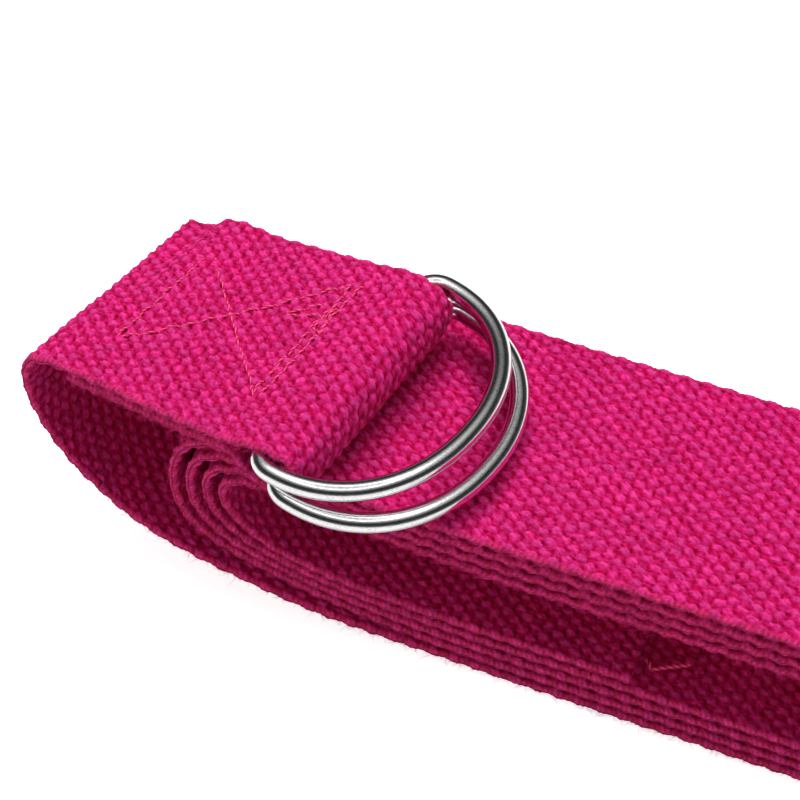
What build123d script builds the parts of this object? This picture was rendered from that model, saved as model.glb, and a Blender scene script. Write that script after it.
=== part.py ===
from build123d import *
import math
import os

# Stretching strap: woven cotton webbing rolled into a flattened coil, with a
# sewn loop end on top that carries a pair of wire D-rings.
# Millimetres. +X runs along the coil, +Y across the webbing, +Z up.
# The winding is laid out with X = 0 at the coil's left end; the finished
# pieces are then moved so that the origin is on the floor plane, under the
# middle of the coil, on the centre line of the webbing's width.
# The ring end has its own turned frame: s runs along it towards the rings,
# v across it, z up.

# ---- driving dimensions -------------------------------------------------
web_width = 37.0          # woven width of the webbing
web_thick = 1.65          # thickness of one layer
half_thick = web_thick / 2
half_width = web_width / 2

coil_turns = 4            # full turns inside the outer wrap
coil_right_x = 188.0      # centre of the right-hand turns (sets the length)
coil_height = 29.6        # top of the coil above the floor
wrap_lift = 1.85          # underside of the coiled stack above the floor
tail_end_x = 66.5         # free end of the webbing on the floor of the hollow
origin_x = 100.0          # distance from the coil's left end to the origin

wire_d = 2.6              # D-ring wire
ring_inner_w = 38.6       # clear width between the D-ring arms
ring_depth = 19.7         # bar centre line to front centre line
ring_corner_r = 2.1       # centre-line corner radius beside the bar
ring_nose_down = 2.0      # degrees the ring planes dip towards the front
ring_front_power = 2.12   # superellipse exponent of the front; 2 is an ellipse
ring_front_steps = 24     # spline spans along the front

tab_yaw = -11.0           # degrees the ring end is turned about Z
tab_origin_x, tab_origin_y = 22.0, -4.9  # plan position of s = 0, v = 0
fold_s, fold_z = 0.75, 35.275            # centre of the fold
fold_inner_r = 2.72                      # inside radius of the fold
fold_r = fold_inner_r + half_thick       # centre-line radius of the fold
bar_upper = (-1.0, 36.585)               # (s, z) of the upper ring's bar
bar_lower = (1.0, 33.89)                 # (s, z) of the lower ring's bar
ring_slide = 0.10                        # sideways offset of each ring

hinge_s, hinge_z = -36.0, 32.45  # flex line at the top of the left bend
hinge_gap = 0.25                 # clearance round the nose of the ring end
hinge_overcut = 1.0              # how far the cutter passes each webbing edge
foldback_end_s = -33.2           # cut end of the folded-back layer
layer_gap = 0.05                 # gap between the two sewn layers
slope_allowance = 0.03           # extra height, as the sewn layers slope

thread_d = 0.5            # sewing thread
stitch_len = 2.6          # stitch pitch
stitch_margin = 0.10      # share of the pitch left bare at each stitch end
stitch_sink = 0.30        # depth of the stitch ends below the webbing face
stitch_rise = 0.34        # height of the stitch middle above the face
seam_left_s = -31.0       # cross seam near the flex line
seam_right_s = -7.2       # cross seam near the rings

tail_thread_gap = 0.06    # clearance between the loose thread and the webbing

# ---- measured centre lines ----------------------------------------------
# Boundaries of the coiled stack, (x, z): from the right-hand turn along the
# top, round the left end and back along the bottom. Their rows pair up.
stack_outer = [
    (coil_right_x, coil_height), (120, coil_height), (60, coil_height), (49, coil_height),
    (38.7, 29.65), (31, 29.75), (25.5, 29.95),
    (20, 30.55), (15, 31.35), (10.5, 31.75), (6.2, 31.4), (2.9, 29.4), (0.9, 25.8),
    (0.1, 21.0), (0.3, 16.6), (1.9, 12.9), (4.6, 10.2), (8.6, 8.2), (13.5, 6.7),
    (19.0, 5.15), (25.4, 3.95), (33.0, 2.9), (40.0, 2.3), (48.0, 1.95),
    (60, wrap_lift), (120, wrap_lift), (coil_right_x, wrap_lift),
]
stack_inner = [
    (coil_right_x, 20.9), (120, 21.0), (60, 21.1), (49, 20.95),
    (38.7, 21.4), (31.4, 22.1), (26.0, 22.75),
    (21.0, 23.5), (17.0, 24.2), (13.9, 24.15), (11.3, 23.4), (10.0, 22.2), (9.6, 21.0),
    (9.9, 19.7), (10.8, 18.1), (12.4, 16.3), (14.3, 14.7), (17.2, 13.1), (20.4, 12.1),
    (23.9, 11.4), (28.5, 10.95), (34.5, 10.6), (41.0, 10.5), (48.5, 10.5),
    (60, 10.6), (120, 10.6), (coil_right_x, 10.5),
]
tail_row = -3             # row at x = 60, the last one before the free end

# Outer wrap under the coil, (x, z), from the left end to the right turn.
wrap_low = [
    (4.0, 7.35), (9.0, 6.35), (14.0, 5.2), (19.0, 3.95), (25.0, 2.75), (33.0, 1.75),
    (41.0, 1.15), (50.0, half_thick + 0.02), (60.0, half_thick), (120, half_thick),
    (coil_right_x, half_thick),
]

# Left bend of the outer wrap, (x, z), from below the coil up to just short
# of the flex line.
left_bend = [
    (11.5, 5.8), (6.0, 6.95), (1.0, 8.0), (-4.0, 9.6), (-9.0, 11.9),
    (-13.6, 15.4), (-16.9, 19.6), (-18.4, 24.0), (-18.2, 28.2), (-16.4, 31.1),
]

# Upper layer of the ring end, (s, z), from the flex line to the fold's top.
upper_layer = [
    (hinge_s, hinge_z), (-33.0, 32.85), (-28.0, 33.55), (-22.0, 34.45), (-16.0, 35.4),
    (-11.0, 36.25), (-7.2, 37.05), (-4.0, 38.15), (-1.6, 38.75), (fold_s, fold_z + fold_r),
]

# Lower layer, (s, z), from the fold's bottom to where it nears the upper one.
lower_rise = [
    (fold_s, fold_z - fold_r), (-1.4, 31.80), (-3.2, 32.3), (-4.8, 33.4), (-6.4, 34.75),
]
lower_meet_s, lower_meet_drop = -8.2, 0.06  # first paired station, extra drop
lower_paired_s = [-11.0, -16.0, -22.0, -28.0, foldback_end_s]

# Seam lines of the ring end, (s, v) start and end: cross seams, then diagonals.
seam_lines = [
    ((seam_left_s, -9.8), (seam_left_s, 9.8)),
    ((seam_right_s, -10.4), (seam_right_s, 13.4)),
    ((seam_right_s - 1.3, 13.2), (seam_right_s - 1.3, -10.0)),
    ((seam_left_s + 1.0, 10.2), (seam_right_s - 0.6, -10.6)),
    ((seam_right_s - 0.9, 13.6), (seam_left_s + 0.6, -10.0)),
]

# Loose thread: (offset in x from the free end, y, lift above its rest height).
tail_thread_points = [(2.6, -14.2, 0.05), (4.2, -13.2, 0.35), (6.4, -12.6, 0.05)]


# ---- path helpers: a path is a list of 2-D points -----------------------
def between(start, end, f):
    """Point at the fraction f of the way from start to end."""
    return tuple(a + (b - a) * f for a, b in zip(start, end))


def slope(before, here, after):
    """Tangent at a point, weighted by the distances to its neighbours."""
    d_in = math.dist(before, here)
    d_out = math.dist(here, after)
    return [
        ((c - b) / d_out * d_in + (b - a) / d_in * d_out) / (d_in + d_out)
        for a, b, c in zip(before, here, after)
    ]


def smooth(points, step):
    """Cubic Hermite curve through the points, sampled about every step."""
    padded = [between(points[1], points[0], 2), *points, between(points[-2], points[-1], 2)]
    slopes = [slope(*padded[i:i + 3]) for i in range(len(points))]
    out = []
    for i in range(len(points) - 1):
        start, end = points[i], points[i + 1]
        length = math.dist(start, end)
        count = max(1, int(round(length / step)))
        for j in range(count):
            t = j / count
            w_start = 2 * t ** 3 - 3 * t ** 2 + 1
            w_end = -2 * t ** 3 + 3 * t ** 2
            w_slope_in = (t ** 3 - 2 * t ** 2 + t) * length
            w_slope_out = (t ** 3 - t ** 2) * length
            out.append(tuple(
                w_start * start[k] + w_slope_in * slopes[i][k]
                + w_end * end[k] + w_slope_out * slopes[i + 1][k]
                for k in (0, 1)
            ))
    out.append(points[-1])
    return out


def thin(path, tolerance):
    """Drop points that stay within tolerance of the simplified path."""
    if len(path) < 3:
        return path
    start, end = path[0], path[-1]
    chord = math.dist(start, end)

    def offset(i):
        x, z = path[i]
        along = (x - start[0]) * (end[0] - start[0]) + (z - start[1]) * (end[1] - start[1])
        t = max(0.0, min(1.0, along / chord / chord))
        return math.dist(path[i], between(start, end, t))

    far = max(range(1, len(path) - 1), key=offset)
    if offset(far) <= tolerance:
        return [start, end]
    return thin(path[:far + 1], tolerance)[:-1] + thin(path[far:], tolerance)


def arc_points(x, z, radius, start_deg, end_deg, count):
    """Points inside an arc, leaving out both of its ends."""
    out = []
    for i in range(1, count):
        angle = math.radians(start_deg + (end_deg - start_deg) * i / count)
        out.append((x + radius * math.cos(angle), z + radius * math.sin(angle)))
    return out


def height_at(path, s):
    """Height of the path at s; the path must run towards +s there."""
    a, b = next((a, b) for a, b in zip(path, path[1:]) if a[0] <= s <= b[0])
    return a[1] + (b[1] - a[1]) * (s - a[0]) / (b[0] - a[0])


# ---- solid helpers ------------------------------------------------------
def webbing(path, plane):
    """Webbing with its centre line on the path, extruded along plane.z_dir."""
    left, right = [], []
    for i, (x, z) in enumerate(path):
        before = path[max(0, i - 1)]
        after = path[min(len(path) - 1, i + 1)]
        dx, dz = after[0] - before[0], after[1] - before[1]
        length = math.hypot(dx, dz)
        nx, nz = -dz / length, dx / length
        left.append((x + half_thick * nx, z + half_thick * nz))
        right.append((x - half_thick * nx, z - half_thick * nz))
    outline = [plane.from_local_coords(Vector(x, z, 0)) for x, z in left + right[::-1]]
    return extrude(make_face(Polyline(*outline, close=True)), amount=web_width, dir=plane.z_dir)


def largest(shape):
    return max(shape.solids(), key=lambda solid: solid.volume)


def thread(edge):
    section = Plane(origin=edge @ 0, z_dir=edge % 0) * Circle(thread_d / 2)
    return sweep(section, path=edge)


# ---- frames -------------------------------------------------------------
# Both planes start at the +Y edge of the webbing: local x along it, local y up.
coil_plane = Plane(origin=(0, half_width, 0), x_dir=(1, 0, 0), z_dir=(0, -1, 0))

yaw = math.radians(tab_yaw)
along = Vector(math.cos(yaw), math.sin(yaw), 0)
across = Vector(-math.sin(yaw), math.cos(yaw), 0)


def tab_point(s, v, z):
    return Vector(tab_origin_x, tab_origin_y, 0) + along * s + across * v + Vector(0, 0, z)


tab_plane = Plane(origin=tab_point(0, half_width, 0), x_dir=along, z_dir=across * -1)


def hinge_cylinder(radius, overcut):
    """Cylinder on the flex line, passing each webbing edge by overcut."""
    section = tab_plane * (Pos(hinge_s, hinge_z, -overcut) * Circle(radius))
    return extrude(section, amount=web_width + 2 * overcut, dir=across * -1)


# ---- coil and left bend -------------------------------------------------
def stack_layer(turn):
    """Centre line of one turn, spaced evenly between the stack boundaries."""
    f = (turn - 0.5) / coil_turns
    return [between(a, b, f) for a, b in zip(stack_outer, stack_inner)]


def coil_path():
    path = [(x, max(z, half_thick)) for x, z in smooth(wrap_low, 3.0)]
    for turn in range(1, coil_turns + 1):
        points = stack_layer(turn)
        low_z, high_z = path[-1][1], points[0][1]
        path += arc_points(
            coil_right_x, (high_z + low_z) / 2, (high_z - low_z) / 2, -90, 90, 20
        )
        if turn == coil_turns:
            tail_z = points[tail_row][1]
            points = points[:tail_row + 1] + [(tail_end_x, tail_z)]
        path += smooth(points, 1.0)
    return thin(path, 0.03)


def make_webbing_coil():
    coil = webbing(coil_path(), coil_plane)
    bend_points = [((x - tab_origin_x) / math.cos(yaw), z) for x, z in left_bend]
    bend_points.append((hinge_s, hinge_z))
    bend = webbing(thin(smooth(bend_points, 0.7), 0.015), tab_plane)
    # Clear the top of the bend for the rounded nose of the ring end.
    bend = largest(bend - hinge_cylinder(half_thick + hinge_gap, hinge_overcut))
    return largest(coil.solids()[0] + bend)


# ---- ring end: sewn double layer and fold -------------------------------
upper_path = smooth(upper_layer, 0.8)


def make_lower_path():
    drop = web_thick + layer_gap + slope_allowance
    meet_z = height_at(upper_path, lower_meet_s) - drop - lower_meet_drop
    points = lower_rise + [(lower_meet_s, meet_z)]
    points += [(s, height_at(upper_path, s) - drop) for s in lower_paired_s]
    return smooth(points, 0.8)


lower_path = make_lower_path()


def make_webbing_ring_end():
    fold = arc_points(fold_s, fold_z, fold_r, 90, -90, 18)
    layers = webbing(thin(upper_path + fold + lower_path, 0.012), tab_plane)
    return largest(layers.solids()[0] + hinge_cylinder(half_thick, 0))


# ---- D-rings ------------------------------------------------------------
def make_d_ring(bar, slide):
    """Closed wire ring: straight bar, two corners and a rounded front."""
    dip = math.radians(ring_nose_down)
    forward = along * math.cos(dip) - Vector(0, 0, 1) * math.sin(dip)
    bar_centre = tab_point(bar[0], slide, bar[1])
    plane = Plane(origin=bar_centre, x_dir=forward, z_dir=forward.cross(across))
    half = (ring_inner_w + wire_d) / 2
    corner = ring_corner_r
    bar_half = half - corner
    diagonal = corner * math.sqrt(0.5)

    def at(x, y):
        return plane.from_local_coords(Vector(x, y, 0))

    front = []
    power = 2 / ring_front_power
    for i in range(ring_front_steps + 1):
        angle = -math.pi / 2 + math.pi * i / ring_front_steps
        reach = abs(math.cos(angle)) ** power
        side = math.copysign(abs(math.sin(angle)) ** power, math.sin(angle))
        front.append(at(corner + (ring_depth - corner) * reach, half * side))

    def corner_mid(sign):
        return at(corner - diagonal, sign * (bar_half + diagonal))

    path = Wire([
        Line(at(0, bar_half), at(0, -bar_half)),
        ThreePointArc(at(0, -bar_half), corner_mid(-1), at(corner, -half)),
        Spline(*front, tangents=[forward, forward * -1]),
        ThreePointArc(at(corner, half), corner_mid(1), at(0, bar_half)),
    ])
    section = Plane(origin=bar_centre, z_dir=across * -1) * Circle(wire_d / 2)
    return sweep(section, path=path)


# ---- sewing thread ------------------------------------------------------
def make_stitches(layer_path, side):
    """Arched stitches on the upper (side = 1) or lower (side = -1) face."""
    stitches = []
    for start, end in seam_lines:
        count = max(1, int(round(math.dist(start, end) / stitch_len)))
        for i in range(count):
            points = []
            for f, rise in (
                (stitch_margin, -stitch_sink),
                (0.5, stitch_rise),
                (1 - stitch_margin, -stitch_sink),
            ):
                s, v = between(start, end, (i + f) / count)
                z = height_at(layer_path, s) + side * (half_thick + rise)
                points.append(tab_point(s, v, z))
            stitches.append(thread(ThreePointArc(*points)).solids()[0])
    return Compound(children=stitches)


def make_tail_thread():
    """Loose thread at the free end, lying on the turn beneath it."""
    face_z = stack_layer(coil_turns - 1)[tail_row][1] + half_thick
    rest_z = face_z + thread_d / 2 + tail_thread_gap
    points = [(tail_end_x + dx, y, rest_z + lift) for dx, y, lift in tail_thread_points]
    return thread(Spline(*points))


# ---- export -------------------------------------------------------------
pieces = {
    "webbing_coil": make_webbing_coil(),
    "webbing_ring_end": make_webbing_ring_end(),
    "d_ring_upper": make_d_ring(bar_upper, ring_slide),
    "d_ring_lower": make_d_ring(bar_lower, -ring_slide),
    "loop_seam_needle_thread": make_stitches(upper_path, side=1),
    # The lower path runs towards -s, so it is sorted for the height lookup.
    "loop_seam_bobbin_thread": make_stitches(sorted(lower_path), side=-1),
    "tail_thread": make_tail_thread(),
}
os.makedirs("parts", exist_ok=True)
for name, shape in pieces.items():
    export_step(Pos(-origin_x, 0, 0) * shape, f"parts/{name}.step")
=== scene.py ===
"""A woven cotton strap wound into a flat coil, with two D-rings on its outer end.

The coil lies on the floor with its length along X and the strap's width along Y. The
outer end comes up round the -X side, lies on top of the coil turned by TAB_YAW, passes
through the rings, folds under itself and is sewn down.

Lengths are millimetres. Winding axes: X from the coil's -X end, Y across it, Z up from
the floor. Tab axes: reach along TAB_X, across along TAB_Y, and Z. Strap axes: along
(arc length from the folded-back cut end), across, and height towards the outer face.
to_frame() turns winding axes into the frame's metres.
"""
import math
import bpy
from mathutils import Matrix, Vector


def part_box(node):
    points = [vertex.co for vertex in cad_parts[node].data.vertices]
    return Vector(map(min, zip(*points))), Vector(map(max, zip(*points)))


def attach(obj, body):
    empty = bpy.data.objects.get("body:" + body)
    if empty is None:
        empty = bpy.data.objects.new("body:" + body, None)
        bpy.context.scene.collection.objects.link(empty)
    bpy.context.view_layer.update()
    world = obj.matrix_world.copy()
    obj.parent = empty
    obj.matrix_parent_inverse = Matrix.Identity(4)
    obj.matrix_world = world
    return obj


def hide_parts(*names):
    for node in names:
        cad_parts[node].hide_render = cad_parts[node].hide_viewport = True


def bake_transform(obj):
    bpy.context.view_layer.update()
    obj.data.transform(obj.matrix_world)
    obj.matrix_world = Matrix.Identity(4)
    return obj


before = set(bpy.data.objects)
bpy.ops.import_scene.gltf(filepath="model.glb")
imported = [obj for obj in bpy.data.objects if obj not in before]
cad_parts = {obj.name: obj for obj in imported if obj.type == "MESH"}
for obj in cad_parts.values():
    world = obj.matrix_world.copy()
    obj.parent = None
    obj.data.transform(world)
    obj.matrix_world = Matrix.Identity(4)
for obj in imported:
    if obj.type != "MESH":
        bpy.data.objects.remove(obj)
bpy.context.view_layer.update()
from types import SimpleNamespace

import bpy
import numpy as np
from mathutils import Vector


# ---------------------------------------------------------------- dimensions
ROW_X = 100.0                                # winding X at the frame's origin
STRAP_WIDTH, STRAP_THICK = 37.0, 1.65
HALF_W, HALF_T = STRAP_WIDTH / 2, STRAP_THICK / 2
TURNS = 4
TURN_X = 188.0                               # centre of the +X turns
FREE_END_X = 66.5                            # cut end of the innermost layer
TAB_YAW = math.radians(-11.0)
TAB_X = np.array([math.cos(TAB_YAW), math.sin(TAB_YAW), 0.0])
TAB_Y = np.array([-math.sin(TAB_YAW), math.cos(TAB_YAW), 0.0])
TAB_ORIGIN = np.array([22.0, -4.9, 0.0])
FOLD_REACH, FOLD_Z, FOLD_R = 0.75, 35.275, 2.72   # fold centre and inside radius
HINGE_REACH, HINGE_Z = -36.0, 32.45          # where the tab leaves the bend
CUT_REACH = -33.2                            # cut end of the folded-back layer
LAYER_GAP = STRAP_THICK + 0.08               # between centre lines of the sewn layers
WRAP_EASE = 48.0                             # X length over which the wrap straightens

# Centre-line bounds of the winding, (x, z): over the top to the -X turn, then back below.
COIL_OUTER = [
    (TURN_X, 29.6), (120, 29.6), (60, 29.6), (49, 29.6), (38.7, 29.65), (31, 29.75),
    (25.5, 29.95), (20, 30.55), (15, 31.35), (10.5, 31.75), (6.2, 31.4), (2.9, 29.4),
    (0.9, 25.8), (0.1, 21.0), (0.3, 16.6), (1.9, 12.9), (4.6, 10.2), (8.6, 8.2),
    (13.5, 6.7), (19.0, 5.15), (25.4, 3.95), (33.0, 2.9), (40.0, 2.3), (48.0, 1.95),
    (60, 1.85), (120, 1.85), (TURN_X, 1.85)]
COIL_INNER = [
    (TURN_X, 20.9), (120, 21.0), (60, 21.1), (49, 20.95), (38.7, 21.4), (31.4, 22.1),
    (26.0, 22.75), (21.0, 23.5), (17.0, 24.2), (13.9, 24.15), (11.3, 23.4), (10.0, 22.2),
    (9.6, 21.0), (9.9, 19.7), (10.8, 18.1), (12.4, 16.3), (14.3, 14.7), (17.2, 13.1),
    (20.4, 12.1), (23.9, 11.4), (28.5, 10.95), (34.5, 10.6), (41.0, 10.5), (48.5, 10.5),
    (60, 10.6), (120, 10.6), (TURN_X, 10.5)]
LAST_TURN_POINT = 15                         # later points lie on the lower side

# Outer wrap from the bend down to the floor, (x, z)
WRAP = [(1.0, 8.0), (6.0, 6.95), (11.5, 5.8), (19.0, 3.95), (25.0, 2.75), (33.0, 1.75),
        (41.0, 1.15), (50.0, HALF_T + 0.02), (60.0, HALF_T), (120, HALF_T), (TURN_X, HALF_T)]

# Top layer of the tab from the hinge to the fold, (reach, z)
TOP = [(HINGE_REACH, HINGE_Z), (-33.0, 32.85), (-28.0, 33.55), (-22.0, 34.45), (-16.0, 35.4),
       (-11.0, 36.25), (-7.2, 37.05), (-4.0, 38.15), (-1.6, 38.75),
       (FOLD_REACH, FOLD_Z + FOLD_R + HALF_T)]


# ---------------------------------------------------------------- strap path
def smooth(low, high, x):
    ramped = np.clip((x - low) / (high - low), 0, 1)
    return ramped * ramped * (3 - 2 * ramped)


def window(x, rise_from, rise_to, fall_from, fall_to):
    return smooth(rise_from, rise_to, x) * (1 - smooth(fall_from, fall_to, x))


def unit(vectors):
    return vectors / np.linalg.norm(vectors, axis=-1, keepdims=True)


def arc_lengths(points):
    gaps = np.linalg.norm(np.diff(points, axis=0), axis=1)
    return np.concatenate([[0], np.cumsum(gaps)])


def catmull(points, step):
    """Chord-length Catmull-Rom curve through 2D points, sampled about every step."""
    def beyond(end, neighbour):
        return tuple(2 * end[k] - neighbour[k] for k in (0, 1))

    padded = [beyond(points[0], points[1]), *points, beyond(points[-1], points[-2])]
    out = []
    for before, start, end, after in zip(padded, padded[1:], padded[2:], padded[3:]):
        gap_in = max(math.dist(before, start), 1e-6)
        gap = max(math.dist(start, end), 1e-6)
        gap_out = max(math.dist(end, after), 1e-6)
        slope_in = [((end[k] - start[k]) / gap * gap_in + (start[k] - before[k]) / gap_in * gap)
                    / (gap_in + gap) * gap for k in (0, 1)]
        slope_out = [((after[k] - end[k]) / gap_out * gap + (end[k] - start[k]) / gap * gap_out)
                     / (gap + gap_out) * gap for k in (0, 1)]
        count = max(1, int(round(gap / step)))
        for j in range(count):
            t = j / count
            w_start = 2 * t ** 3 - 3 * t ** 2 + 1
            w_slope_in = t ** 3 - 2 * t ** 2 + t
            w_end = -2 * t ** 3 + 3 * t ** 2
            w_slope_out = t ** 3 - t ** 2
            out.append(tuple(w_start * start[k] + w_slope_in * slope_in[k]
                             + w_end * end[k] + w_slope_out * slope_out[k] for k in (0, 1)))
    out.append(points[-1])
    return out


def half_turn(x, z, radius, count):
    """Points of a half circle on the +X side, bottom to top, without its two ends."""
    angles = [math.radians(-90 + 180 * i / count) for i in range(1, count)]
    return [(x + radius * math.cos(a), z + radius * math.sin(a)) for a in angles]


def tab_point(reach, across, z):
    return TAB_ORIGIN + TAB_X * reach + TAB_Y * across + np.array([0, 0, z])


def to_frame(points):
    return (np.array(points, dtype=float) - [ROW_X, 0, 0]) / 1000.0


def x_to_reach(x):
    return (x - TAB_ORIGIN[0]) / math.cos(TAB_YAW)


TOP_PATH = catmull(TOP, 0.5)


def below_top(reach):
    """Centre-line height of a layer lying against the underside of the top layer."""
    return float(np.interp(reach, *np.array(TOP_PATH).T)) - LAYER_GAP


# Folded-back layer from the fold to its cut end, (reach, z)
UNDER = [(FOLD_REACH, FOLD_Z - FOLD_R - HALF_T), (-1.4, 31.80), (-3.2, 32.3), (-4.8, 33.4),
         (-6.4, 34.75), (-8.2, below_top(-8.2) - 0.06)]
UNDER += [(reach, below_top(reach)) for reach in (-11.0, -16.0, -22.0, -28.0, CUT_REACH)]
UNDER_PATH = catmull(UNDER, 0.5)

# Bend from the hinge round the -X side of the coil, (reach, z), entered as (x, z)
BEND = [(HINGE_REACH, HINGE_Z)]
BEND += [(x_to_reach(x), z) for x, z in (
    (-16.4, 31.1), (-18.2, 28.2), (-18.4, 24.0), (-16.9, 19.6),
    (-13.6, 15.4), (-9.0, 11.9), (-4.0, 9.6))]
BEND_END_X = -4.0


def coil_layer(k):
    """Centre line of layer k; layer 1 is the outermost."""
    share = (k - 0.5) / TURNS
    return [(a[0] + (b[0] - a[0]) * share, a[1] + (b[1] - a[1]) * share)
            for a, b in zip(COIL_OUTER, COIL_INNER)]


def wrap_plan(x):
    """Y of the outer wrap's centre line and turn of its width direction at winding x."""
    slope = math.tan(TAB_YAW)
    cross_x = TAB_ORIGIN[0] - TAB_ORIGIN[1] / slope   # the tab's axis meets y = 0 here
    t = np.clip((x - cross_x) / WRAP_EASE, 0, 1)
    if x < cross_x:
        y = slope * (x - cross_x)
    else:
        y = slope * WRAP_EASE * (t ** 3 - 2 * t ** 2 + t)
    return float(y), float(-TAB_YAW * (1 - smooth(-8.0, 26.0, x)))


def tab_width_direction(reach, z):
    """The tab lies slightly twisted: its height changes a little across the width."""
    roll = -0.085 * (1 - smooth(-34.0, -6.0, reach)) * smooth(9.0, 26.0, z)
    return unit(TAB_Y + np.array([0, 0, roll]))


def trace_strap():
    """Centres, width directions and tags from the folded-back end to the free end."""
    centres, widths, tags = [], [], []

    def add(centre, width, tag):
        centres.append(centre)
        widths.append(width)
        tags.append(tag)

    tab = UNDER_PATH[::-1]
    tab += half_turn(FOLD_REACH, FOLD_Z, FOLD_R + HALF_T, 22)
    tab += TOP_PATH[::-1]
    for i, (reach, z) in enumerate(tab):
        tag = "foldback" if i < len(UNDER_PATH) - 1 else "tab"
        add(tab_point(reach, 0, z), tab_width_direction(reach, z), tag)
    for reach, z in catmull(BEND, 0.5)[1:]:
        add(tab_point(reach, 0, z), tab_width_direction(HINGE_REACH, z), "bend")

    # the last two bend points lead into the wrap, which is kept from past the join
    lead = [(TAB_ORIGIN[0] + reach * math.cos(TAB_YAW), z) for reach, z in BEND[-2:]]
    for x, z in catmull(lead + WRAP, 1.0):
        if x > BEND_END_X + 1e-6:
            y, turn = wrap_plan(x)
            add(np.array([x, y, max(z, HALF_T)]),
                np.array([math.sin(turn), math.cos(turn), 0.0]), "wrap")

    last_z = HALF_T
    for k in range(1, TURNS + 1):
        layer = coil_layer(k)
        top_z = layer[0][1]
        turn = half_turn(TURN_X, (top_z + last_z) / 2, (top_z - last_z) / 2, 40)
        last_z = layer[-1][1]
        if k == TURNS:
            end_z = layer[-3][1]
            layer = [p for i, p in enumerate(layer)
                     if i <= LAST_TURN_POINT or p[0] <= FREE_END_X - 4]
            layer.append((FREE_END_X, end_z))
        for tag, path in (("turn", turn), ("layer", catmull(layer, 0.8))):
            for x, z in path:
                add(np.array([x, 0, z]), np.array([0, 1.0, 0]), f"{tag}_{k}")
    return np.array(centres), np.array(widths), np.array(tags)


CENTRES, WIDTHS, TAGS = trace_strap()
ARC = arc_lengths(CENTRES)


def span_of(tag):
    """Arc lengths at which a tagged stretch starts and ends."""
    found = np.where(TAGS == tag)[0]
    return ARC[found[0]], ARC[min(found[-1] + 1, len(ARC) - 1)]


def frames(along):
    """Centre, tangent, width direction and outward normal at each arc length."""
    def sample(values, at):
        return np.stack([np.interp(at, ARC, values[:, k]) for k in range(3)], -1)

    reach = 0.6   # half the span that the tangent is taken over
    width = unit(sample(WIDTHS, along))
    tangent = unit(sample(CENTRES, along + reach) - sample(CENTRES, along - reach))
    return sample(CENTRES, along), tangent, width, unit(np.cross(width, tangent))


# ---------------------------------------------------------------- mesh helpers
def skin(grid):
    """Quads over a grid of vertex numbers (rows, columns), closed across the columns."""
    near, far = grid[..., :-1, :], grid[..., 1:, :]
    corners = [near, np.roll(near, -1, -1), np.roll(far, -1, -1), far]
    return np.stack(corners, -1).reshape(-1, 4)


def fan(hub, ring, at_end):
    """Triangles from a hub vertex to a ring, facing away from the skin between."""
    following = np.roll(ring, -1)
    pair = (ring, following) if at_end else (following, ring)
    return np.stack([np.full(len(ring), hub), *pair], -1)


def add_mesh(name, points, quads, tris, looks=None):
    """Smooth object from winding points; looks holds the strap, grain and rim values."""
    mesh = bpy.data.meshes.new(name)
    quads = np.asarray(quads, dtype=np.int32).reshape(-1, 4)
    tris = np.asarray(tris, dtype=np.int32).reshape(-1, 3)
    mesh.vertices.add(len(points))
    mesh.vertices.foreach_set("co", to_frame(points).astype(np.float32).ravel())
    loops = np.concatenate([quads.ravel(), tris.ravel()])
    starts = np.concatenate([np.arange(len(quads)) * 4,
                             len(quads) * 4 + np.arange(len(tris)) * 3])
    mesh.loops.add(len(loops))
    mesh.loops.foreach_set("vertex_index", loops)
    mesh.polygons.add(len(starts))
    mesh.polygons.foreach_set("loop_start", starts.astype(np.int32))
    mesh.update(calc_edges=True)
    mesh.validate()
    mesh.polygons.foreach_set("use_smooth", [True] * len(mesh.polygons))
    if looks is not None:
        strap, grain, rim = looks
        layer = mesh.attributes.new("strap", "FLOAT_VECTOR", "POINT")
        layer.data.foreach_set("vector", np.asarray(strap, dtype=np.float32).ravel())
        for label, values in (("grain", grain), ("rim", rim)):
            layer = mesh.attributes.new(label, "FLOAT", "POINT")
            layer.data.foreach_set("value", np.full(len(points), values, dtype=np.float32))
    made = bpy.data.objects.new(name, mesh)
    bpy.context.scene.collection.objects.link(made)
    return made


def dress(made, material, body=None, node=None):
    made.data.materials.append(material)
    if body:
        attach(made, body)
    if node:
        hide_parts(node)
    return made


# ---------------------------------------------------------------- weave
# Warp ends run along the strap and weft picks across it.
PICK, END = 1.5, 1.0                         # spacing of picks and of ends
WARP = SimpleNamespace(
    dive=0.22,                               # half the drop from float to crossing
    crest_power=0.50, dip_power=0.7,         # shape of the float and of the crossing
    half_width=0.56, swell=0.07,             # in end spacings, and its gain on a float
    flank=0.36, flank_power=0.42,            # drop at the flanks and its curve
    uneven=0.10,                             # random drop per float
    slant=0.20,                              # skew of a float, in picks
    ply=0.055, ply_pitch=1.05, ply_slant=1.15)   # twist grooves
WEFT = SimpleNamespace(level=-0.21, dive=0.10, half_width=0.52, flank=0.36,
                       flank_power=0.40, uneven=0.06)
ABSENT = -9.0                                # height where there is no yarn
CREST_LIMIT = 0.04
# Tone from depth is painted shade: hollows of the weave get darker colour and yarn tops lighter
# colour.
TONE = SimpleNamespace(base=0.84, depth_offset=0.12, depth_range=0.56,
                       weft=0.92, mottle=0.46)   # brightness from depth, weft and noise

# Selvedge
RIM_WIDTH, RIM_POWER = 0.95, 2.2             # rounded strip at each edge, its section
RIB_PITCH = 0.75                             # fine ribs along the edge
EDGE_INSETS = [0.02, 0.14, 0.34, 0.6]        # mesh columns near each edge
FIELD_INSET = 0.9                            # evenly spaced columns start here


def grain_hash(i, j):
    scattered = np.sin(i * 127.1 + j * 311.7 + 13.7) * 43758.5453
    return scattered - np.floor(scattered)


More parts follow.
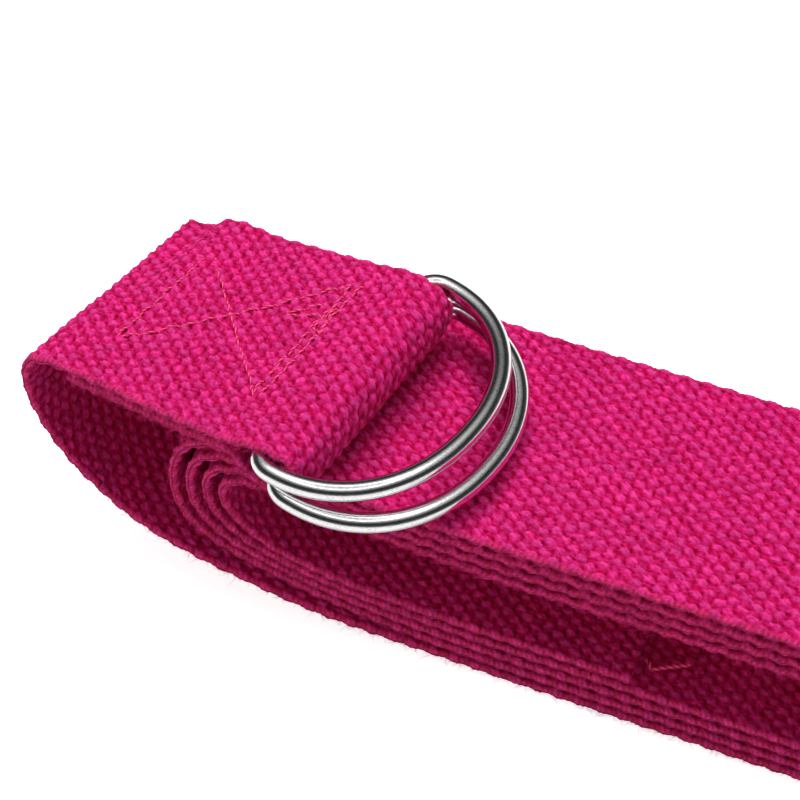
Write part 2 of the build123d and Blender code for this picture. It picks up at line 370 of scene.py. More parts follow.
def noise(x, y, seed):
    """Value noise on a unit grid, -0.5 to 0.5."""
    xi, yi = np.floor(x), np.floor(y)
    fx, fy = x - xi, y - yi
    fx, fy = fx * fx * (3 - 2 * fx), fy * fy * (3 - 2 * fy)
    low = grain_hash(xi + seed, yi) * (1 - fx) + grain_hash(xi + 1 + seed, yi) * fx
    high = grain_hash(xi + seed, yi + 1) * (1 - fx) + grain_hash(xi + 1 + seed, yi + 1) * fx
    return low * (1 - fy) + high * fy - 0.5


def weave(along, across, side):
    """One face (side +1 outer, -1 inner): height from the crest plane, tone with painted shade
    in the hollows, yarn grain.
    """
    shift = 0.0 if side > 0 else 1.0
    # slow waves and noise that lead the yarns off their straight lines
    yarn_v = (across + 0.10 * np.sin(along * 0.23) * np.cos(across * 0.31)
              + 0.10 * noise(along * 0.9, across * 0.9, 5))
    yarn_u = (along + 0.14 * np.sin(across * 0.37 + along * 0.05)
              + 0.20 * noise(along * 0.8, across * 1.1, 9))
    ragged_v = 0.30 * noise(along * 2.7, across * 2.3, 21)
    ragged_u = 0.26 * noise(along * 2.2, across * 2.9, 23)

    warp = np.full_like(yarn_u, ABSENT)
    warp_grain = np.zeros_like(yarn_u)
    nearest = np.floor(yarn_v / END)
    for k in (-1, 0, 1, 2):
        end = nearest + k
        grain = grain_hash(end, np.round((yarn_u / PICK + end + shift) / 2))
        offset = yarn_v / END - end
        offset = offset + ragged_v
        phase = yarn_u / PICK + ragged_u - WARP.slant * offset * side + end + shift
        wave = np.cos(math.pi * phase)
        wave = np.where(wave > 0, np.abs(wave) ** WARP.crest_power,
                        -np.abs(wave) ** WARP.dip_power)
        flank = offset / (WARP.half_width + WARP.swell * np.clip(wave, 0, 1) * (0.5 + grain))
        profile = np.clip(1 - flank * flank, 0, 1) ** WARP.flank_power
        groove = np.cos(2 * math.pi * (offset * WARP.ply_slant - side * yarn_u / WARP.ply_pitch))
        height = (-WARP.dive * (1 - wave) - WARP.flank * (1 - profile)
                  - WARP.uneven * grain + WARP.ply * groove)
        height = np.where(np.abs(flank) > 1, ABSENT, height)
        warp_grain = np.where(height > warp, grain, warp_grain)
        warp = np.maximum(warp, height)

    pick = np.round(yarn_u / PICK)
    weft_grain = grain_hash(pick + 3, np.round(yarn_v / END) - 5)
    flank = (yarn_u - pick * PICK) / (WEFT.half_width * PICK)
    profile = np.clip(1 - flank * flank, 0, 1) ** WEFT.flank_power
    wave = np.cos(math.pi * (yarn_v / END + pick + shift))
    weft = (WEFT.level - WEFT.dive * (1 + wave) - WEFT.flank * (1 - profile)
            - WEFT.uneven * weft_grain)

    # fine and broad fuzz on whichever yarn is on top
    depth = np.maximum(warp, weft)
    depth = (depth + 0.12 * noise(along * 3.4 + across * 1.4, across * 4.4 - along * 1.2, 2)
             + 0.04 * noise(along * 1.4, across * 1.7, 3))
    depth = np.minimum(depth, CREST_LIMIT)
    # painted shade and highlight: the lower a point lies, the darker its tone
    tone = np.clip(TONE.base + (depth + TONE.depth_offset) / TONE.depth_range, 0, 1)
    mottle = noise(along * 2.6 - across * 1.2, across * 3.9 + along * 0.5, 6)
    tone = np.where(weft > warp, tone * TONE.weft, tone) + TONE.mottle * mottle
    return depth, np.clip(tone, 0, 1), np.where(weft > warp, weft_grain, warp_grain)


def columns(step):
    """Mesh columns across one face, close together at the edges."""
    edge = [HALF_W - inset for inset in EDGE_INSETS]
    field = HALF_W - FIELD_INSET
    count = max(2, int(round(2 * field / step)))
    middle = list(np.linspace(-field, field, count + 1))
    return np.array([-e for e in edge] + middle + edge[::-1])


def selvedge_shift(along, across, side, turn, seed):
    """How far the edge stands out where the weft turns round it."""
    shift = (0.11 * turn - 0.06 + 0.11 * noise(along * 1.5, across * 2.1 + side, seed)
             + 0.12 * noise(along * 2.9, across * 3.0 + side, seed + 4)
             + 0.05 * np.cos(2 * math.pi * (along / RIB_PITCH) + 1.3 * side))
    return shift * smooth(HALF_W - 2.6, HALF_W - 0.2, np.abs(across))


def strap_mesh(name, start, stop, row_step, outer_step, inner_step, seed=0.0,
               fold_at=None, hinge_at=None):
    """Length of woven strap; steps are the mesh spacing along and across each face."""
    rows = max(2, int(round((stop - start) / row_step)))
    row_along = np.linspace(start, stop, rows + 1)
    centre, _, width, normal = frames(row_along)
    outer, inner = columns(outer_step), columns(inner_step)[::-1]
    along, across = np.meshgrid(row_along, np.concatenate([outer, inner]), indexing="ij")
    side = np.ones_like(along)
    side[:, len(outer):] = -1.0
    split = len(outer)
    faces = zip(weave(along[:, :split], across[:, :split], 1),
                weave(along[:, split:], across[:, split:], -1))
    depth, tone, grain = (np.concatenate(pair, 1) for pair in faces)

    # rounded edges, where the weft turns round the last end once every two picks
    rim = np.clip((np.abs(across) - (HALF_W - RIM_WIDTH)) / RIM_WIDTH, 0, 1)
    section = np.sqrt(np.clip(1 - rim ** RIM_POWER, 0, 1))
    turn = np.cos(math.pi * (along / PICK + np.where(across > 0, 0.0, 1.0)))
    height = side * (HALF_T * section * (0.97 + 0.05 * turn * rim) + depth * (1 - 0.90 * rim))
    least = 0.06 * section * side   # keeps the two faces apart
    height = np.where(side > 0, np.maximum(height, least), np.minimum(height, least))
    placed = across + np.sign(across) * selvedge_shift(along, across, side, turn, seed)

    if hinge_at is not None:
        # past the hinge the +Y side sags; just before it that side lifts
        past = along - hinge_at
        sag = window(past, -0.6, 2.6, 16.0, 60.0) * smooth(-12.0, 17.0, across)
        lift = smooth(2.0, 17.0, across) * window(past, -10.0, -3.8, -3.6, 1.4)
        height = height - 1.85 * sag + 0.80 * lift
    if fold_at is not None:
        # round the ring bars the strap narrows and its edges draw in
        past = along - fold_at
        placed = placed * (1 - 0.020 * window(past, -10.0, -2.0, 2.0, 12.0))
        height = height - 0.55 * smooth(14.5, 18.6, np.abs(across)) * window(
            past, -9.0, -3.0, 3.0, 10.0)
    points = (centre[:, None, :] + width[:, None, :] * placed[..., None]
              + normal[:, None, :] * height[..., None])
    if hinge_at is not None:
        # the sagging side also leans against the tab's reach
        lean = window(along - hinge_at, 0.5, 6.0, 14.0, 46.0) * smooth(-10.0, 18.0, across)
        points = points - TAB_X * (1.9 * lean)[..., None]

    cell = along.shape[1]
    grid = np.arange(along.size).reshape(-1, cell)
    cap_points, tris = [], []
    for cap, row in enumerate((0, rows)):
        hub = along.size + cap * (cell + 1)
        cap_points += [points[row].mean(0)[None], points[row]]
        tris.append(fan(hub, hub + 1 + np.arange(cell), at_end=row > 0))
    caps = 2 * (cell + 1)

    # At the edges the tone is mostly noise, painted lighter where each weft turn stands out and
    # darker between turns, a painted shade.
    edge_noise = noise(along * 2.9, across * 3.6 + side * 7, 11 + seed)
    edge_tone_and_shade = np.clip(0.50 + 0.20 * turn + 1.3 * edge_noise, 0, 1)
    tone = tone * (1 - 0.45 * rim) + 0.45 * rim * edge_tone_and_shade
    # the inner face reads its shader textures 60 mm away from the outer face
    coords = np.stack([along, across + 60.0 * (side < 0), tone], -1).reshape(-1, 3)
    # cap faces get tone 0.3 and rim 0.6, which gives them part of the painted edge sheen
    looks = (np.concatenate([coords, np.tile([[start, 0, 0.3]], (caps, 1))]),
             np.concatenate([grain.ravel(), np.full(caps, 0.5)]),
             np.concatenate([rim.ravel(), np.full(caps, 0.6)]))
    points = np.concatenate([points.reshape(-1, 3), *cap_points])
    return add_mesh(name, points, skin(grid), np.concatenate(tris), looks)


def strand_mesh(name, lines, radius, sides, ply):
    """Twisted strands along point lists; ply is how deeply the twist shows."""
    twist_per_mm, ply_gain, end_taper = 0.55, 1.6, 0.55
    angle = 2 * math.pi * np.arange(sides) / sides
    points, coords, quads, tris = [], [], [], []
    base = 0
    for line in lines:
        tangent = unit(np.gradient(line, axis=0))
        up = [0, 0, 1.0] if abs(tangent[0][2]) < 0.8 else [0, 1.0, 0]
        beside = unit(np.cross(tangent, up))
        over = np.cross(tangent, beside)
        length = arc_lengths(line)[:, None]
        twist = np.abs(np.cos(angle - 2 * math.pi * twist_per_mm * length))
        reach = radius * (1 - ply + ply * twist * ply_gain)
        reach[[0, -1]] *= end_taper
        spokes = (beside[:, None] * np.cos(angle)[:, None]
                  + over[:, None] * np.sin(angle)[:, None])
        ring_points = line[:, None] + spokes * reach[..., None]
        # the twist also sets the thread's tone: painted shade in the grooves between plies,
        # painted highlight on their bulges
        ring_coords = np.stack(np.broadcast_arrays(length, angle * radius, twist), -1)
        points += [ring_points.reshape(-1, 3), line[[0, -1]]]
        coords += [ring_coords.reshape(-1, 3), [[0, 0, 0.5], [length[-1, 0], 0, 0.5]]]
        grid = base + np.arange(len(line) * sides).reshape(-1, sides)
        hub = base + grid.size
        quads.append(skin(grid))
        tris += [fan(hub, grid[0], at_end=False), fan(hub + 1, grid[-1], at_end=True)]
        base = hub + 2
    return add_mesh(name, np.concatenate(points), np.concatenate(quads),
                    np.concatenate(tris), (np.concatenate(coords), 0.5, 0.0))


# ---------------------------------------------------------------- materials
def add_node(tree, kind, inputs, **settings):
    """Add a shader node with its settings, then plug its inputs."""
    made = tree.nodes.new("ShaderNode" + kind)
    for key, value in settings.items():
        setattr(made, key, value)
    plug(tree, made, inputs)
    return made


def plug(tree, target, inputs):
    """Link sockets and set plain values on a node's inputs."""
    for key, value in inputs.items():
        if isinstance(value, bpy.types.NodeSocket):
            tree.links.new(value, target.inputs[key])
        else:
            target.inputs[key].default_value = value


def calculate(tree, operation, *terms):
    return add_node(tree, "Math", dict(enumerate(terms)), operation=operation).outputs[0]


def mix(tree, data_type, factor, first, second):
    # socket numbers of A, B and the result for each data type
    a_in, b_in, result = {"FLOAT": (2, 3, 0), "RGBA": (6, 7, 2)}[data_type]
    made = add_node(tree, "Mix", {}, data_type=data_type)
    plug(tree, made, {0: factor, a_in: first, b_in: second})
    return made.outputs[result]


def noise_texture(tree, vector, scale, detail, **more):
    inputs = {"Vector": vector, "Scale": scale, "Detail": detail, **more}
    return add_node(tree, "TexNoise", inputs).outputs["Fac"]


def mapping(tree, vector, **inputs):
    return add_node(tree, "Mapping", {"Vector": vector, **inputs}).outputs[0]


def attribute(tree, name, output="Fac"):
    return add_node(tree, "Attribute", {}, attribute_name=name).outputs[output]


def ramp(tree, factor, stops):
    """Colour ramp; a stop is (position, grey level or RGB)."""
    made = add_node(tree, "ValToRGB", {0: factor})
    elements = made.color_ramp.elements
    while len(elements) < len(stops):
        elements.new(0.5)
    for element, (position, colour) in zip(elements, stops):
        element.position = position
        rgb = colour if isinstance(colour, tuple) else (colour,) * 3
        element.color = (*rgb, 1)
    return made.outputs["Color"]


def srgb(*levels):
    """Linear colour from 0-255 display levels."""
    shares = [level / 255 for level in levels]
    return tuple(c / 12.92 if c <= 0.04045 else ((c + 0.055) / 1.055) ** 2.4 for c in shares)


def new_material(name):
    material = bpy.data.materials.new(name)
    material.use_nodes = True
    tree = material.node_tree
    return material, tree, tree.nodes.get("Principled BSDF")


def cloth(name, dark, mid, bright, fibre_scale, bump_mm):
    """Dyed cotton, coloured by the strap, grain and rim attributes (scales per mm), with painted
    shade in the weave's hollows, a painted highlight on its crests and a painted sheen on its
    edges.
    """
    material, tree, shader = new_material(name)
    strap = attribute(tree, "strap", "Vector")
    grain = attribute(tree, "grain")
    axes = add_node(tree, "SeparateXYZ", {0: strap}).outputs
    # dark is the painted shade in the hollows; crest, a paler tint of bright, is a painted
    # highlight on the yarn tops
    crest = tuple(min(1.0, c * gain) for c, gain in zip(bright, (1.10, 2.1, 1.28)))
    colour = ramp(tree, axes["Z"], [(0.04, dark), (0.42, mid), (0.80, bright), (1.0, crest)])

    fibre_space = mapping(tree, strap, Scale=(*fibre_scale, 0.0), Rotation=(0, 0, 0.22))
    streaks = noise_texture(tree, fibre_space, scale=1.0, detail=4.0,
                            Roughness=0.7, Distortion=0.6)
    specks = noise_texture(tree, strap, scale=5.5, detail=3.0, Roughness=0.8)
    fibres = mix(tree, "FLOAT", 0.45, streaks, specks)
    contrast = add_node(tree, "MapRange", {"Value": fibres, "From Min": 0.40,
                                           "From Max": 0.60}).outputs[0]
    blotch_space = mapping(tree, strap, Scale=(0.11, 0.16, 0.0))
    blotches = noise_texture(tree, blotch_space, scale=1.0, detail=2.0)

    # brightness = 0.53 + 0.50 fibres + 0.20 blotches + 0.24 grain + 0.22 ribs, the rib term
    # being painted shade and highlight along the edge ribs
    level = calculate(tree, "MULTIPLY_ADD", contrast, 0.50, 0.53)
    level = calculate(tree, "MULTIPLY_ADD", blotches, 0.20, level)
    level = calculate(tree, "MULTIPLY_ADD", grain, 0.24, level)
    rim = attribute(tree, "rim")
    # the edge band is blended towards a pale pink, a painted sheen on the fuzzy selvedges in
    # place of light on them
    rim_sheen_share = calculate(tree, "MULTIPLY", rim, 0.56)
    colour = mix(tree, "RGBA", rim_sheen_share, colour, (*srgb(240, 70, 134), 1))
    # light and dark stripes along the edge ribs, painted shade and highlight that follow the rib
    # bump
    skew = calculate(tree, "MULTIPLY", axes["Y"], 3.1)
    phase = calculate(tree, "MULTIPLY_ADD", axes["X"], 2 * math.pi / RIB_PITCH, skew)
    ribs = calculate(tree, "MULTIPLY", calculate(tree, "SINE", phase), rim)
    level = calculate(tree, "MULTIPLY_ADD", ribs, 0.22, level)
    relief = calculate(tree, "MULTIPLY_ADD", ribs, 0.22, fibres)
    shaded = add_node(tree, "VectorMath", {}, operation="SCALE")
    plug(tree, shaded, {0: colour, "Scale": level})
    bump = add_node(tree, "Bump", {"Strength": 0.9, "Distance": bump_mm / 1000.0,
                                   "Height": relief})
    plug(tree, shader, {
        "Base Color": shaded.outputs[0],
        "Roughness": 0.86,
        "Specular IOR Level": 0.04,
        "Sheen Weight": 0.03,
        "Sheen Roughness": 0.45,
        "Sheen Tint": (1.0, 0.35, 0.62, 1),
        "Normal": bump.outputs[0]})
    return material


def chrome(name):
    """Bright plate with faint speckle and uneven polish (scales per metre)."""
    material, tree, shader = new_material(name)
    place = add_node(tree, "TexCoord", {}).outputs["Object"]
    speckle = noise_texture(tree, place, scale=3600.0, detail=2.0)
    polish_space = mapping(tree, place, Scale=(900, 300, 900))
    polish = noise_texture(tree, polish_space, scale=1.0, detail=3.0)
    roughness = ramp(tree, polish, [(0.38, 0.07), (0.72, 0.20)])
    colour = ramp(tree, speckle, [(0.30, (0.66, 0.66, 0.67)), (0.50, (0.90, 0.90, 0.91))])
    bump = add_node(tree, "Bump", {"Strength": 0.22, "Distance": 0.00003, "Height": speckle})
    plug(tree, shader, {"Roughness": roughness, "Base Color": colour, "Metallic": 1.0,
                        "Normal": bump.outputs[0]})
    return material


WEB = cloth("web_cotton", dark=srgb(122, 3, 42), mid=srgb(200, 13, 80),
            bright=srgb(234, 46, 138), fibre_scale=(1.1, 2.9), bump_mm=0.55)
THREAD = cloth("sewing_thread", dark=srgb(176, 18, 72), mid=srgb(212, 36, 98),
               bright=srgb(240, 76, 134), fibre_scale=(3.0, 5.0), bump_mm=0.05)
PLATE = chrome("polished_plate")

# ---------------------------------------------------------------- strap pieces
foldback_end = span_of("foldback")[1]
tab_end = span_of("tab")[1]
bend_start, bend_end = span_of("bend")
# the tab mesh ends where the bend has come down to z = 24
split_at = float(ARC[np.where((ARC > bend_start) & (ARC < bend_end)
                              & (CENTRES[:, 2] < 24.0))[0][0]])
(start_1, end_1), (start_2, end_2), (start_3, end_3), (start_4, _) = (
    span_of(f"layer_{k}") for k in range(1, TURNS + 1))
free_end = float(ARC[-1])
FOLD_AT = foldback_end + 5.5
HINGE_AT = tab_end - 2.4

foldback = strap_mesh("ring_end_foldback", 0.0, foldback_end, row_step=0.3,
                      outer_step=0.22, inner_step=0.5, fold_at=FOLD_AT)
dress(foldback, WEB, "ring_end", "webbing_ring_end")
tab = strap_mesh("ring_end_top", foldback_end, split_at, row_step=0.22,
                 outer_step=0.2, inner_step=0.55, fold_at=FOLD_AT, hinge_at=HINGE_AT)
dress(tab, WEB, node="webbing_ring_end")
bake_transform(tab)

# name, start, stop, row step, outer column step, inner column step, seed
COIL_PIECES = [
    ("wrap_bend", split_at, 150.0, 0.25, 0.25, 0.2, 0),
    ("wrap_floor_a", 150.0, 230.0, 0.3, 0.33, 0.4, 0),
    ("wrap_floor_b", 230.0, start_1 - 20.0, 0.3, 0.33, 0.6, 0),
    ("turn_right_1", start_1 - 20.0, start_1 + 20.0, 0.3, 0.25, 0.7, 1.0),
    ("layer_1_top_a", start_1 + 20.0, start_1 + 84.0, 0.3, 0.25, 0.8, 1.0),
    ("layer_1_top_b", start_1 + 84.0, start_1 + 138.0, 0.25, 0.2, 0.8, 1.0),
    ("layer_1_top_c", start_1 + 138.0, start_1 + 190.0, 0.25, 0.2, 0.8, 1.0),
    ("layer_1_turn", start_1 + 190.0, start_1 + 245.0, 0.3, 0.33, 0.8, 1.0),
    ("layer_1_low", start_1 + 245.0, end_1, 0.35, 0.9, 0.9, 1.0),
    ("layer_2_top", end_1, start_2 + 190.0, 0.35, 0.9, 0.9, 2.0),
    ("layer_2_low", start_2 + 190.0, end_2, 0.35, 0.9, 0.9, 2.0),
    ("layer_3_top", end_2, start_3 + 190.0, 0.35, 0.9, 0.9, 3.0),
    ("layer_3_low", start_3 + 190.0, end_3, 0.3, 0.9, 0.33, 3.0),
    ("layer_4_top", end_3, start_4 + 120.0, 0.3, 0.9, 0.3, 4.0),
    ("layer_4_end", start_4 + 120.0, free_end, 0.25, 0.9, 0.22, 4.0),
]
for piece in COIL_PIECES:
    # the sag past the hinge runs on into the bend
    hinge = HINGE_AT if piece[0] == "wrap_bend" else None
    dress(strap_mesh(*piece, hinge_at=hinge), WEB, "coil", "webbing_coil")

# ---------------------------------------------------------------- sewing
# Polylines of (reach, across): one bar by the cut end, two by the rings, a cross, extras
SEAMS = [
    [(-31.0, 9.8), (-31.0, -9.8)],
    [(-7.2, -10.4), (-7.2, 13.4)],
    [(-8.5, 13.2), (-8.5, -10.0)],
    [(-30.0, 10.2), (-7.8, -10.6)],
    [(-8.1, 13.6), (-30.4, -10.0)],
    [(-7.6, 8.2), (-8.9, 3.4), (-7.0, 3.0), (-8.4, 8.8)],
    [(-8.6, 6.0), (-13.6, 4.4), (-9.6, 8.4)],
]
STITCH = SimpleNamespace(pitch=2.6, gap=0.03, points=15,
                         scatter=0.34,       # random sideways shift of the ends
                         bow=0.10,           # sideways curve, alternating
                         sink=0.52, lift_power=0.55)   # buried depth, rise to the middle


def stitch_lines(tag, skip, lift):
    """Stitches on the strap stretch with this tag, less its first skip points."""
    stretch = np.where(TAGS == tag)[0][skip:]
    reaches = (CENTRES[stretch] - TAB_ORIGIN) @ TAB_X
    order = np.argsort(reaches) if tag == "foldback" else slice(None, None, -1)
    reaches, arcs = reaches[order], ARC[stretch][order]
    t = np.linspace(0, 1, STITCH.points)
    arch = np.sin(t * math.pi)
    lines = []
    legs = [leg for seam in SEAMS for leg in zip(seam[:-1], seam[1:])]
    for start, stop in legs:
        run, rise = stop[0] - start[0], stop[1] - start[1]
        length = math.dist(start, stop)
        count = max(1, int(round(length / STITCH.pitch)))
        for i in range(count):
            number = len(lines) + 1
            shift_in, shift_out = ((grain_hash(number, j) - 0.5) * STITCH.scatter
                                   for j in (7, 11))
            first = (i + STITCH.gap) / count
            last = (i + 1 - STITCH.gap) / count
            share = first + (last - first) * t
            bow = STITCH.bow * arch * (1 if number % 2 else -1)
            sideways = shift_in + (shift_out - shift_in) * t + bow
            reach = start[0] + run * share - rise / length * sideways
            across = start[1] + rise * share + run / length * sideways
            height = HALF_T - STITCH.sink + arch ** STITCH.lift_power * lift
            centre, _, width, normal = frames(np.interp(reach, reaches, arcs))
            lines.append(centre + width * across[:, None] + normal * height[:, None])
    return lines


# the top layer is found past the lower part of the fold
needle = strand_mesh("seam_needle_thread", stitch_lines("tab", skip=25, lift=0.49),
                     radius=0.155, sides=10, ply=0.20)
dress(needle, THREAD, "ring_end", "loop_seam_needle_thread")
bobbin = strand_mesh("seam_bobbin_thread", stitch_lines("foldback", skip=0, lift=0.47),
                     radius=0.165, sides=8, ply=0.20)
dress(bobbin, THREAD, "ring_end", "loop_seam_bobbin_thread")

# ---------------------------------------------------------------- loose fibres
rng = np.random.RandomState(7)
FIBRE_ROWS, FIBRE_SIDES = 4, 3
FIBRE_CURL, FIBRE_TAPER = 0.55, 0.55
FLOOR_CLEARANCE = 0.03


def fibres(name, spans, per_mm, body, edge_share):
    """Short curled fibres; a span is (start, stop, share of face fibres on the outside)."""
    points, coords = [], []
    t = (np.arange(FIBRE_ROWS) / (FIBRE_ROWS - 1))[:, None]
    angle = (np.arange(FIBRE_SIDES) * 2.0944)[:, None]
    for start, stop, outer_share in spans:
        count = int((stop - start) * per_mm)
        along = rng.uniform(start, stop, count)
        on_edge = rng.uniform(0, 1, count) < edge_share
        edge = np.where(rng.uniform(0, 1, count) < 0.62, -1.0, 1.0)   # more on the - edge
        across = np.where(on_edge, edge * rng.uniform(HALF_W - 0.5, HALF_W, count),
                          rng.uniform(-HALF_W, HALF_W, count))
        outside = rng.uniform(0, 1, count) < outer_share
        height = np.where(on_edge, rng.uniform(-HALF_T, HALF_T, count) * 0.8,
                          np.where(outside, HALF_T - 0.25, -HALF_T + 0.25))
        centre, tangent, width, normal = frames(along)
        root = centre + width * across[:, None] + normal * height[:, None]
        out = np.where(on_edge[:, None],
                       width * edge[:, None] + normal * rng.uniform(-0.7, 0.7, count)[:, None],
                       normal * np.where(outside, 1.0, -1.0)[:, None])
        heading = unit(out + tangent * rng.normal(0, 0.9, count)[:, None]
                       + width * rng.normal(0, 0.5, count)[:, None])
        curl = unit(np.cross(heading, rng.normal(0, 1, (count, 3))))
        length = np.minimum(rng.gamma(2.4, 0.20, count) + 0.15, 1.5)[:, None, None]
        radius = rng.uniform(0.020, 0.036, count)[:, None, None]

        line = (root[:, None] + heading[:, None] * length * t
                + curl[:, None] * length * FIBRE_CURL * t * t)
        line[..., 2] = np.maximum(line[..., 2], FLOOR_CLEARANCE)
        spokes = (curl[:, None] * np.cos(angle)
                  + np.cross(heading, curl)[:, None] * np.sin(angle))
        thickness = (radius * (1 - FIBRE_TAPER * t))[..., None]
        points.append((line[:, :, None] + spokes[:, None] * thickness).reshape(-1, 3))
        coords.append(np.repeat(np.stack([along, across, np.full(count, 0.8)], -1),
                                FIBRE_ROWS * FIBRE_SIDES, axis=0))
    points = np.concatenate(points)
    grid = np.arange(len(points)).reshape(-1, FIBRE_ROWS, FIBRE_SIDES)
    ends = np.stack([grid[:, 0, [0, 2, 1]], grid[:, -1]], 1)
    # the fibres take rim 1.0, so they carry the full painted sheen colour
    made = add_mesh(name, points, skin(grid), ends, (np.concatenate(coords), 0.6, 1.0))
    dress(made, WEB, body)


fibres("coil_fibres_a", [(split_at + 4, 300.0, 0.35), (start_1 + 60, start_1 + 240, 1.0)],
       per_mm=13.0, body="coil", edge_share=0.72)
fibres("coil_fibres_b", [(end_1, end_2, 0.0), (end_2, end_3, 0.0), (end_3, free_end - 1, 0.0)],
       per_mm=6.0, body="coil", edge_share=0.93)
fibres("ring_end_fibres", [(1.0, tab_end - 6, 1.0)],
       per_mm=24.0, body="ring_end", edge_share=0.55)


# ---------------------------------------------------------------- tail thread
def bezier(*controls, count=26):
    a, b, c, d = (np.array(p, dtype=float) for p in controls)
    t = np.linspace(0, 1, count)[:, None]
    return (1 - t) ** 3 * a + 3 * (1 - t) ** 2 * t * b + 3 * (1 - t) * t * t * c + t ** 3 * d


def tail_thread():
    """Two loose thread ends set in the box of the CAD tail thread."""
    low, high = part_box("tail_thread")
    x0, x1 = low[0] * 1000 + ROW_X, high[0] * 1000 + ROW_X
    y0, y1 = low[1] * 1000, high[1] * 1000
    z = low[2] * 1000
    lines = [
        bezier((x0 - 0.6, y0 - 0.1, z - 0.1), (x0 + 0.6, y0 + 0.25, z + 0.62),
               (x1 - 1.4, y1 - 0.5, z + 0.42), (x1 + 0.1, y1 + 0.1, z + 0.66)),
        bezier((x0 - 1.9, y0 + 1.2, z - 0.1), (x0 - 1.2, y0 + 0.9, z + 0.3),
               (x0 - 0.9, y0 + 0.3, z + 0.3), (x0 - 0.5, y0 - 0.1, z - 0.1))]
    made = strand_mesh("tail_thread_stub", lines, radius=0.26, sides=10, ply=0.16)
    dress(made, THREAD, "coil", "tail_thread")


tail_thread()

# ---------------------------------------------------------------- rings
RING_CORNER = 3.0                            # corner radius at the ends of the bar
RING_INNER = 36.6                            # inside width along the bar
BOW_POWER = 2 / 2.12                         # superellipse of the bow
RING_POINTS, RING_SIDES = 420, 40


def d_ring_outline(half, depth):
    """Closed loop of (x, y): bar at x = 0, corner, bow towards +x, corner."""
    straight = half - RING_CORNER
    bar_y = np.linspace(-straight, straight, 40)[:-1]
    theta = np.linspace(0, math.pi / 2, 14)[:-1]
    corner = np.stack([RING_CORNER - RING_CORNER * np.cos(theta),
                       straight + RING_CORNER * np.sin(theta)], -1)
    theta = np.linspace(math.pi / 2, -math.pi / 2, 220)
    bow_x = np.abs(np.cos(theta)) ** BOW_POWER
    bow_y = np.copysign(np.abs(np.sin(theta)) ** BOW_POWER, np.sin(theta))
    bow = np.stack([RING_CORNER + (depth - RING_CORNER) * bow_x, half * bow_y], -1)
    bar = np.stack([np.zeros_like(bar_y), bar_y], -1)
    return np.concatenate([bar, corner, bow, corner[:0:-1] * [1, -1]])


def d_ring(name, bar, yaw, pitch, wire, depth):
    """Wire D-ring; bar is the bar's middle in tab axes, pitch tips the bow down (degrees)."""
    yaw, pitch = math.radians(yaw), math.radians(pitch)
    ahead = TAB_X * math.cos(yaw) + TAB_Y * math.sin(yaw)
    beside = TAB_Y * math.cos(yaw) - TAB_X * math.sin(yaw)
    ahead = ahead * math.cos(pitch) - np.array([0, 0, 1.0]) * math.sin(pitch)

    # evenly spaced points round the loop, each averaged with its neighbours
    outline = d_ring_outline((RING_INNER + wire) / 2, depth)
    closed = np.concatenate([outline, outline[:1]])
    length = arc_lengths(closed)
    even = np.linspace(0, length[-1], RING_POINTS, endpoint=False)
    x, y = (np.interp(even, length, closed[:, k]) for k in (0, 1))
    x, y = ((np.roll(c, 1) + c + np.roll(c, -1)) / 3 for c in (x, y))

    line = tab_point(*bar) + x[:, None] * ahead + y[:, None] * beside
    tangent = unit(np.roll(line, -1, 0) - np.roll(line, 1, 0))
    up = np.cross(ahead, beside)
    out = np.cross(tangent, up)
    # slight swelling of the wire on the bar, centred at y = 4
    swelling = 1 + 0.035 * np.exp(-((y - 4.0) / 0.7) ** 2) * (x < 0.3)
    radius = (wire / 2 * swelling)[:, None, None]
    angle = (np.arange(RING_SIDES) * 2 * math.pi / RING_SIDES)[:, None]
    points = line[:, None] + radius * (out[:, None] * np.cos(angle) + up * np.sin(angle))
    grid = np.arange(RING_POINTS * RING_SIDES).reshape(RING_POINTS, RING_SIDES)
    quads = skin(np.concatenate([grid, grid[:1]]))
    # the first corner of a quad decides which diagonal splits it
    return add_mesh(name, points.reshape(-1, 3), np.roll(quads, -1, axis=1), [])


upper = d_ring("ring_upper_wire", bar=(-1.8, 0.65, 36.8), yaw=-1.9, pitch=0.8,
               wire=2.74, depth=19.8)
dress(upper, PLATE, "ring_upper", "d_ring_upper")
lower = d_ring("ring_lower_wire", bar=(1.0, 0.25, 33.87), yaw=-2.3, pitch=4.3,
               wire=2.72, depth=20.3)
dress(lower, PLATE, "ring_lower", "d_ring_lower")


# ---------------------------------------------------------------- studio (metres)
def add_floor(half=3.0, z=-0.0004, glow=0.80):
    """White sheet that glows only to the camera."""
    material, tree, shader = new_material("sweep_paper")
    camera_ray = add_node(tree, "LightPath", {}).outputs["Is Camera Ray"]
    plug(tree, shader, {
        "Emission Color": (1, 1, 1, 1),
        "Emission Strength": calculate(tree, "MULTIPLY", camera_ray, glow),
        "Base Color": (0.93, 0.93, 0.93, 1),
        "Roughness": 0.9,
        "Specular IOR Level": 0.1})
    mesh = bpy.data.meshes.new("floor")
    corners = [(-half, -half, z), (half, -half, z), (half, half, z), (-half, half, z)]
    mesh.from_pydata(corners, [], [(0, 1, 2, 3)])
    floor = bpy.data.objects.new("floor", mesh)
    bpy.context.scene.collection.objects.link(floor)
    mesh.materials.append(material)


# Grey level that reflections see, by the Z of their direction
REFLECTED_SKY = [(0.0, 0.60), (0.09, 0.22), (0.20, 0.05), (0.60, 0.02), (0.74, 0.16),
                 (0.84, 0.48), (0.90, 0.80), (0.935, 2.2), (0.97, 1.1), (1.0, 0.62)]


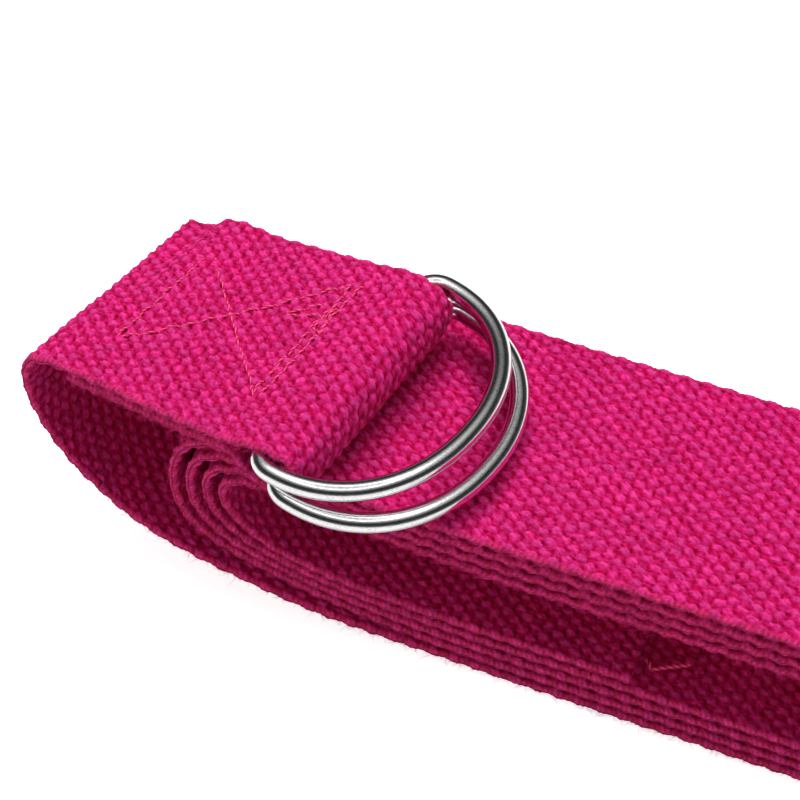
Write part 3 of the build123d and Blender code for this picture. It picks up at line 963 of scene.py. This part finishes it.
def add_world():
    """Dim white light, banded sky for reflections, plain white for the camera."""
    world = bpy.data.worlds.new("studio")
    bpy.context.scene.world = world
    world.use_nodes = True
    tree = world.node_tree
    tree.nodes.clear()
    output = add_node(tree, "OutputWorld", {})
    rays = add_node(tree, "LightPath", {}).outputs

    def background(colour, strength):
        made = add_node(tree, "Background", {"Color": colour, "Strength": strength})
        return made.outputs[0]

    def choose(ray, otherwise, shown):
        return add_node(tree, "MixShader", {0: ray, 1: otherwise, 2: shown}).outputs[0]

    white = (1.0, 1.0, 1.0, 1)
    ambient = background(white, 0.34)
    direction = add_node(tree, "TexCoord", {}).outputs["Generated"]
    axes = add_node(tree, "SeparateXYZ", {0: direction}).outputs
    sky = background(ramp(tree, axes["Z"], REFLECTED_SKY), 1.0)
    lit = choose(rays["Is Glossy Ray"], ambient, sky)
    seen = choose(rays["Is Camera Ray"], lit, background(white, 1.0))
    plug(tree, output, {"Surface": seen})


def area_light(name, location, target, size, power):
    """Square light aimed at target and hidden from reflections."""
    light = bpy.data.lights.new(name, "AREA")
    light.shape = "SQUARE"
    light.size = size
    light.energy = power
    made = bpy.data.objects.new(name, light)
    bpy.context.scene.collection.objects.link(made)
    made.location = location
    made.visible_glossy = False
    aim = Vector(target) - Vector(location)
    made.rotation_euler = aim.to_track_quat("-Z", "Y").to_euler()


def add_camera(target, azimuth, elevation, distance, lens):
    """Camera looking at target; azimuth turns from -Y towards +X (degrees)."""
    azimuth, elevation = math.radians(azimuth), math.radians(elevation)
    away = np.array([math.sin(azimuth) * math.cos(elevation),
                     -math.cos(azimuth) * math.cos(elevation), math.sin(elevation)])
    data = bpy.data.cameras.new("camera")
    camera = bpy.data.objects.new("camera", data)
    bpy.context.scene.collection.objects.link(camera)
    camera.location = Vector(target + away * distance)
    camera.rotation_euler = Vector(-away).to_track_quat("-Z", "Y").to_euler()
    data.sensor_width = 36.0
    data.lens = lens
    data.clip_start = 0.01
    data.clip_end = 20.0
    bpy.context.scene.camera = camera


add_floor()
add_world()
area_light("overhead", location=(-0.05, 0.25, 1.1), target=(-0.05, 0, 0), size=0.75, power=7.0)
area_light("key", location=(-0.28, 0.62, 0.92), target=(-0.06, 0, 0.02), size=0.40, power=6.6)
area_light("fill", location=(-0.60, -1.05, 0.14), target=(-0.05, 0, 0.02), size=0.40, power=2.6)
add_camera(target=to_frame((27.01, -0.77, 29.6)), azimuth=22.35, elevation=48.9,
           distance=0.300, lens=101.7999)

view = bpy.context.scene.view_settings
view.view_transform = "Standard"
view.look = "None"
view.exposure = 0.0
